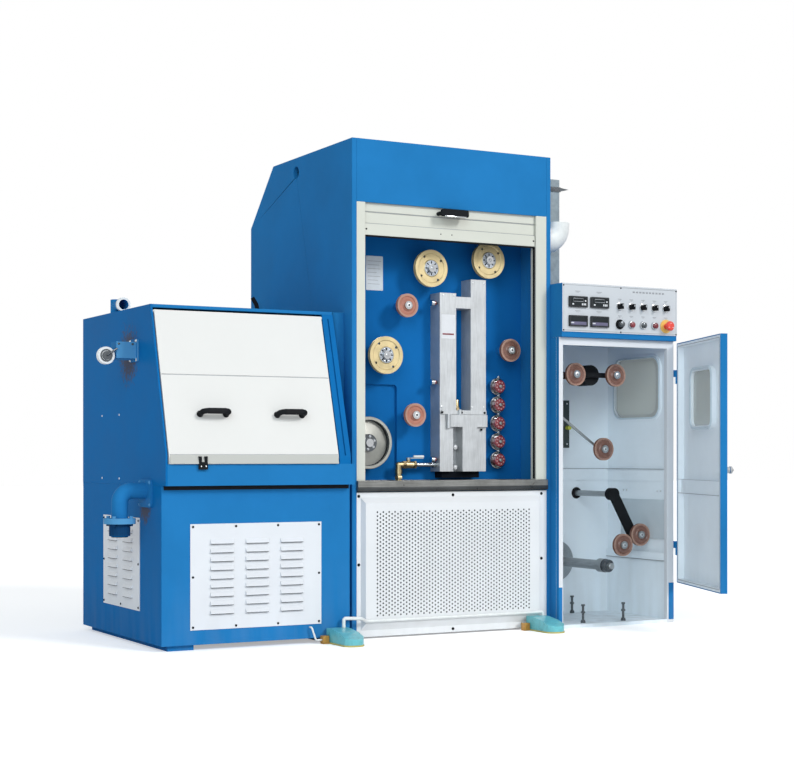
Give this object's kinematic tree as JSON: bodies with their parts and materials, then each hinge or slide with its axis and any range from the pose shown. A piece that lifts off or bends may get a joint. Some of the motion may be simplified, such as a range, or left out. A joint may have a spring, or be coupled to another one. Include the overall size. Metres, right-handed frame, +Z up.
{
  "type": "wire drawing machine",
  "caption": "Fine wire drawing machine: a drawing tank with a sloped lid, an annealer behind a roller shutter and a take-up cabinet with an open door.",
  "frame": {"origin": "on the floor, under the middle of the bounding box", "axes": "+X along the front from the drawing unit to the take-up, +Y to the back, +Z up"},
  "size_m": [2.4452, 1.5724, 1.9],
  "materials": {
    "blue_paint": "blue powder coat",
    "white_paint": "white powder coat",
    "cream_paint": "cream powder coat",
    "pale_paint": "pale blue-grey powder coat",
    "dark_paint": "dark paint",
    "stainless": "brushed",
    "steel": "turned",
    "galvanised": "galvanised",
    "brass": "polished",
    "copper_wheel": "ceramic coated",
    "black_parts": "black",
    "meter_black": "satin",
    "red_plastic": "gloss",
    "white_pvc": "satin",
    "ceramic": "glazed",
    "teal_cast": "cast, painted",
    "window": "clear"
  },
  "bodies": {
    "root": {"annealer_base": "dark_paint", "annealer_hood": "blue_paint", "annealer_rear_cover": "blue_paint", "annealer_side_walls": "blue_paint", "annealing_block": "stainless", "contact_terminals": "red_plastic", "control_box": "blue_paint", "cooling_pipe": "brass", "dancer_post": "black_parts", "door_hinges": "steel", "drain_pipe": "blue_paint", "drawing_base": "blue_paint", "drawing_cones": "steel", "drawing_rear_housing": "blue_paint", "drawing_side_plates": "blue_paint", "exhaust_elbow": "white_pvc", "foot_switch_conduit": "white_pvc", "foot_switches": "teal_cast", "inlet_bracket": "blue_paint", "louvre_panels": "white_paint", "mounting_plate": "blue_paint", "panel_controls": "black_parts", "panel_meters": "meter_black", "perforated_panel": "white_paint", "roller_shutter": "cream_paint", "roof_vent": "blue_paint", "shaft_bosses": "blue_paint", "shutter_casing": "dark_paint", "shutter_frame": "cream_paint", "side_window": "window", "sill_gutter": "stainless", "takeup_floor": "pale_paint", "takeup_front_frame": "white_paint", "takeup_rear_housing": "pale_paint", "takeup_side_walls": "pale_paint", "tank_trough": "blue_paint", "trunking": "galvanised", "wheel_bracket": "black_parts"},
    "tank_lid_body": {"tank_lid": "white_paint", "lid_handles": "black_parts"},
    "valve_lever_body": {"valve_lever": "brass"},
    "capstan_body": {"steel_capstan": "steel"},
    "sheave_1_body": {"brass_sheave_1": "brass"},
    "sheave_2_body": {"brass_sheave_2": "brass"},
    "sheave_3_body": {"brass_sheave_3": "brass"},
    "guide_1_body": {"guide_wheel_1": "copper_wheel"},
    "guide_2_body": {"guide_wheel_2": "copper_wheel"},
    "guide_3_body": {"guide_wheel_3": "copper_wheel"},
    "inlet_wheel_body": {"inlet_wheel": "ceramic"},
    "top_left_body": {"top_wheel_left": "copper_wheel"},
    "top_right_body": {"top_wheel_right": "copper_wheel"},
    "dancer_body": {"dancer_arm": "steel"},
    "dancer_wheel_body": {"dancer_wheel": "copper_wheel"},
    "traverse_body": {"traverse_arm": "black_parts"},
    "traverse_wheel_1_body": {"traverse_wheel_1": "copper_wheel"},
    "traverse_wheel_2_body": {"traverse_wheel_2": "copper_wheel"},
    "spindle_body": {"spool_spindle": "steel"},
    "door_body": {"door_panel": "pale_paint", "door_window": "window", "door_handle": "black_parts"}
  },
  "joints": [
    {"name": "tank_lid_hinge", "type": "hinge", "parent": "root", "child": "tank_lid_body", "pos_m": [-0.71859, -0.09884, 1.216], "axis": [-1, 0, 0], "range_deg": [0, 100]},
    {"name": "door_hinge", "type": "hinge", "parent": "root", "child": "door_body", "pos_m": [1.2004, -0.23384, 0.7], "axis": [0, 0, 1], "range_deg": [-68.5, 51.5]},
    {"name": "valve_turn", "type": "hinge", "parent": "root", "child": "valve_lever_body", "pos_m": [0.04041, -0.01884, 0.68], "axis": [0, 0, 1], "range_deg": [-90, 0]},
    {"name": "sheave_1_spin", "type": "hinge", "parent": "root", "child": "sheave_1_body", "pos_m": [0.1214, -0.05384, 1.437], "axis": [0, 1, 0], "continuous": true},
    {"name": "sheave_2_spin", "type": "hinge", "parent": "root", "child": "sheave_2_body", "pos_m": [0.38841, -0.05384, 1.483], "axis": [0, 1, 0], "continuous": true},
    {"name": "sheave_3_spin", "type": "hinge", "parent": "root", "child": "sheave_3_body", "pos_m": [-0.08059, -0.05384, 1.088], "axis": [0, 1, 0], "continuous": true},
    {"name": "capstan_spin", "type": "hinge", "parent": "root", "child": "capstan_body", "pos_m": [-0.1526, -0.02884, 0.746], "axis": [0, 1, 0], "continuous": true},
    {"name": "guide_1_spin", "type": "hinge", "parent": "root", "child": "guide_1_body", "pos_m": [0.01541, -0.05384, 1.286], "axis": [0, 1, 0], "continuous": true},
    {"name": "guide_2_spin", "type": "hinge", "parent": "root", "child": "guide_2_body", "pos_m": [0.0504, -0.05384, 0.856], "axis": [0, 1, 0], "continuous": true},
    {"name": "guide_3_spin", "type": "hinge", "parent": "root", "child": "guide_3_body", "pos_m": [0.4934, -0.05384, 1.124], "axis": [0, 1, 0], "continuous": true},
    {"name": "inlet_wheel_spin", "type": "hinge", "parent": "root", "child": "inlet_wheel_body", "pos_m": [-1.1826, 0.04116, 1.06], "axis": [0, 1, 0], "continuous": true},
    {"name": "top_left_spin", "type": "hinge", "parent": "root", "child": "top_left_body", "pos_m": [0.78641, -0.09384, 1.032], "axis": [0, 1, 0], "continuous": true},
    {"name": "top_right_spin", "type": "hinge", "parent": "root", "child": "top_right_body", "pos_m": [0.9894, -0.09384, 1.032], "axis": [0, 1, 0], "continuous": true},
    {"name": "dancer_swing", "type": "hinge", "parent": "root", "child": "dancer_body", "pos_m": [0.68241, -0.06384, 0.895], "axis": [0, -1, 0], "range_deg": [-25, 28]},
    {"name": "dancer_wheel_spin", "type": "hinge", "parent": "dancer_body", "child": "dancer_wheel_body", "pos_m": [0.92841, -0.09384, 0.723], "axis": [0, 1, 0], "continuous": true},
    {"name": "traverse_slide", "type": "slide", "parent": "root", "child": "traverse_body", "axis": [0, 1, 0], "range_m": [-0.06, 0.12]},
    {"name": "traverse_wheel_1_spin", "type": "hinge", "parent": "traverse_body", "child": "traverse_wheel_1_body", "pos_m": [1.11641, -0.09384, 0.362], "axis": [0, 1, 0], "continuous": true},
    {"name": "traverse_wheel_2_spin", "type": "hinge", "parent": "traverse_body", "child": "traverse_wheel_2_body", "pos_m": [1.0269, -0.09384, 0.321], "axis": [0, 1, 0], "continuous": true},
    {"name": "spindle_spin", "type": "hinge", "parent": "root", "child": "spindle_body", "pos_m": [0.8864, -0.21384, 0.243], "axis": [0, 1, 0], "continuous": true}
  ]
}
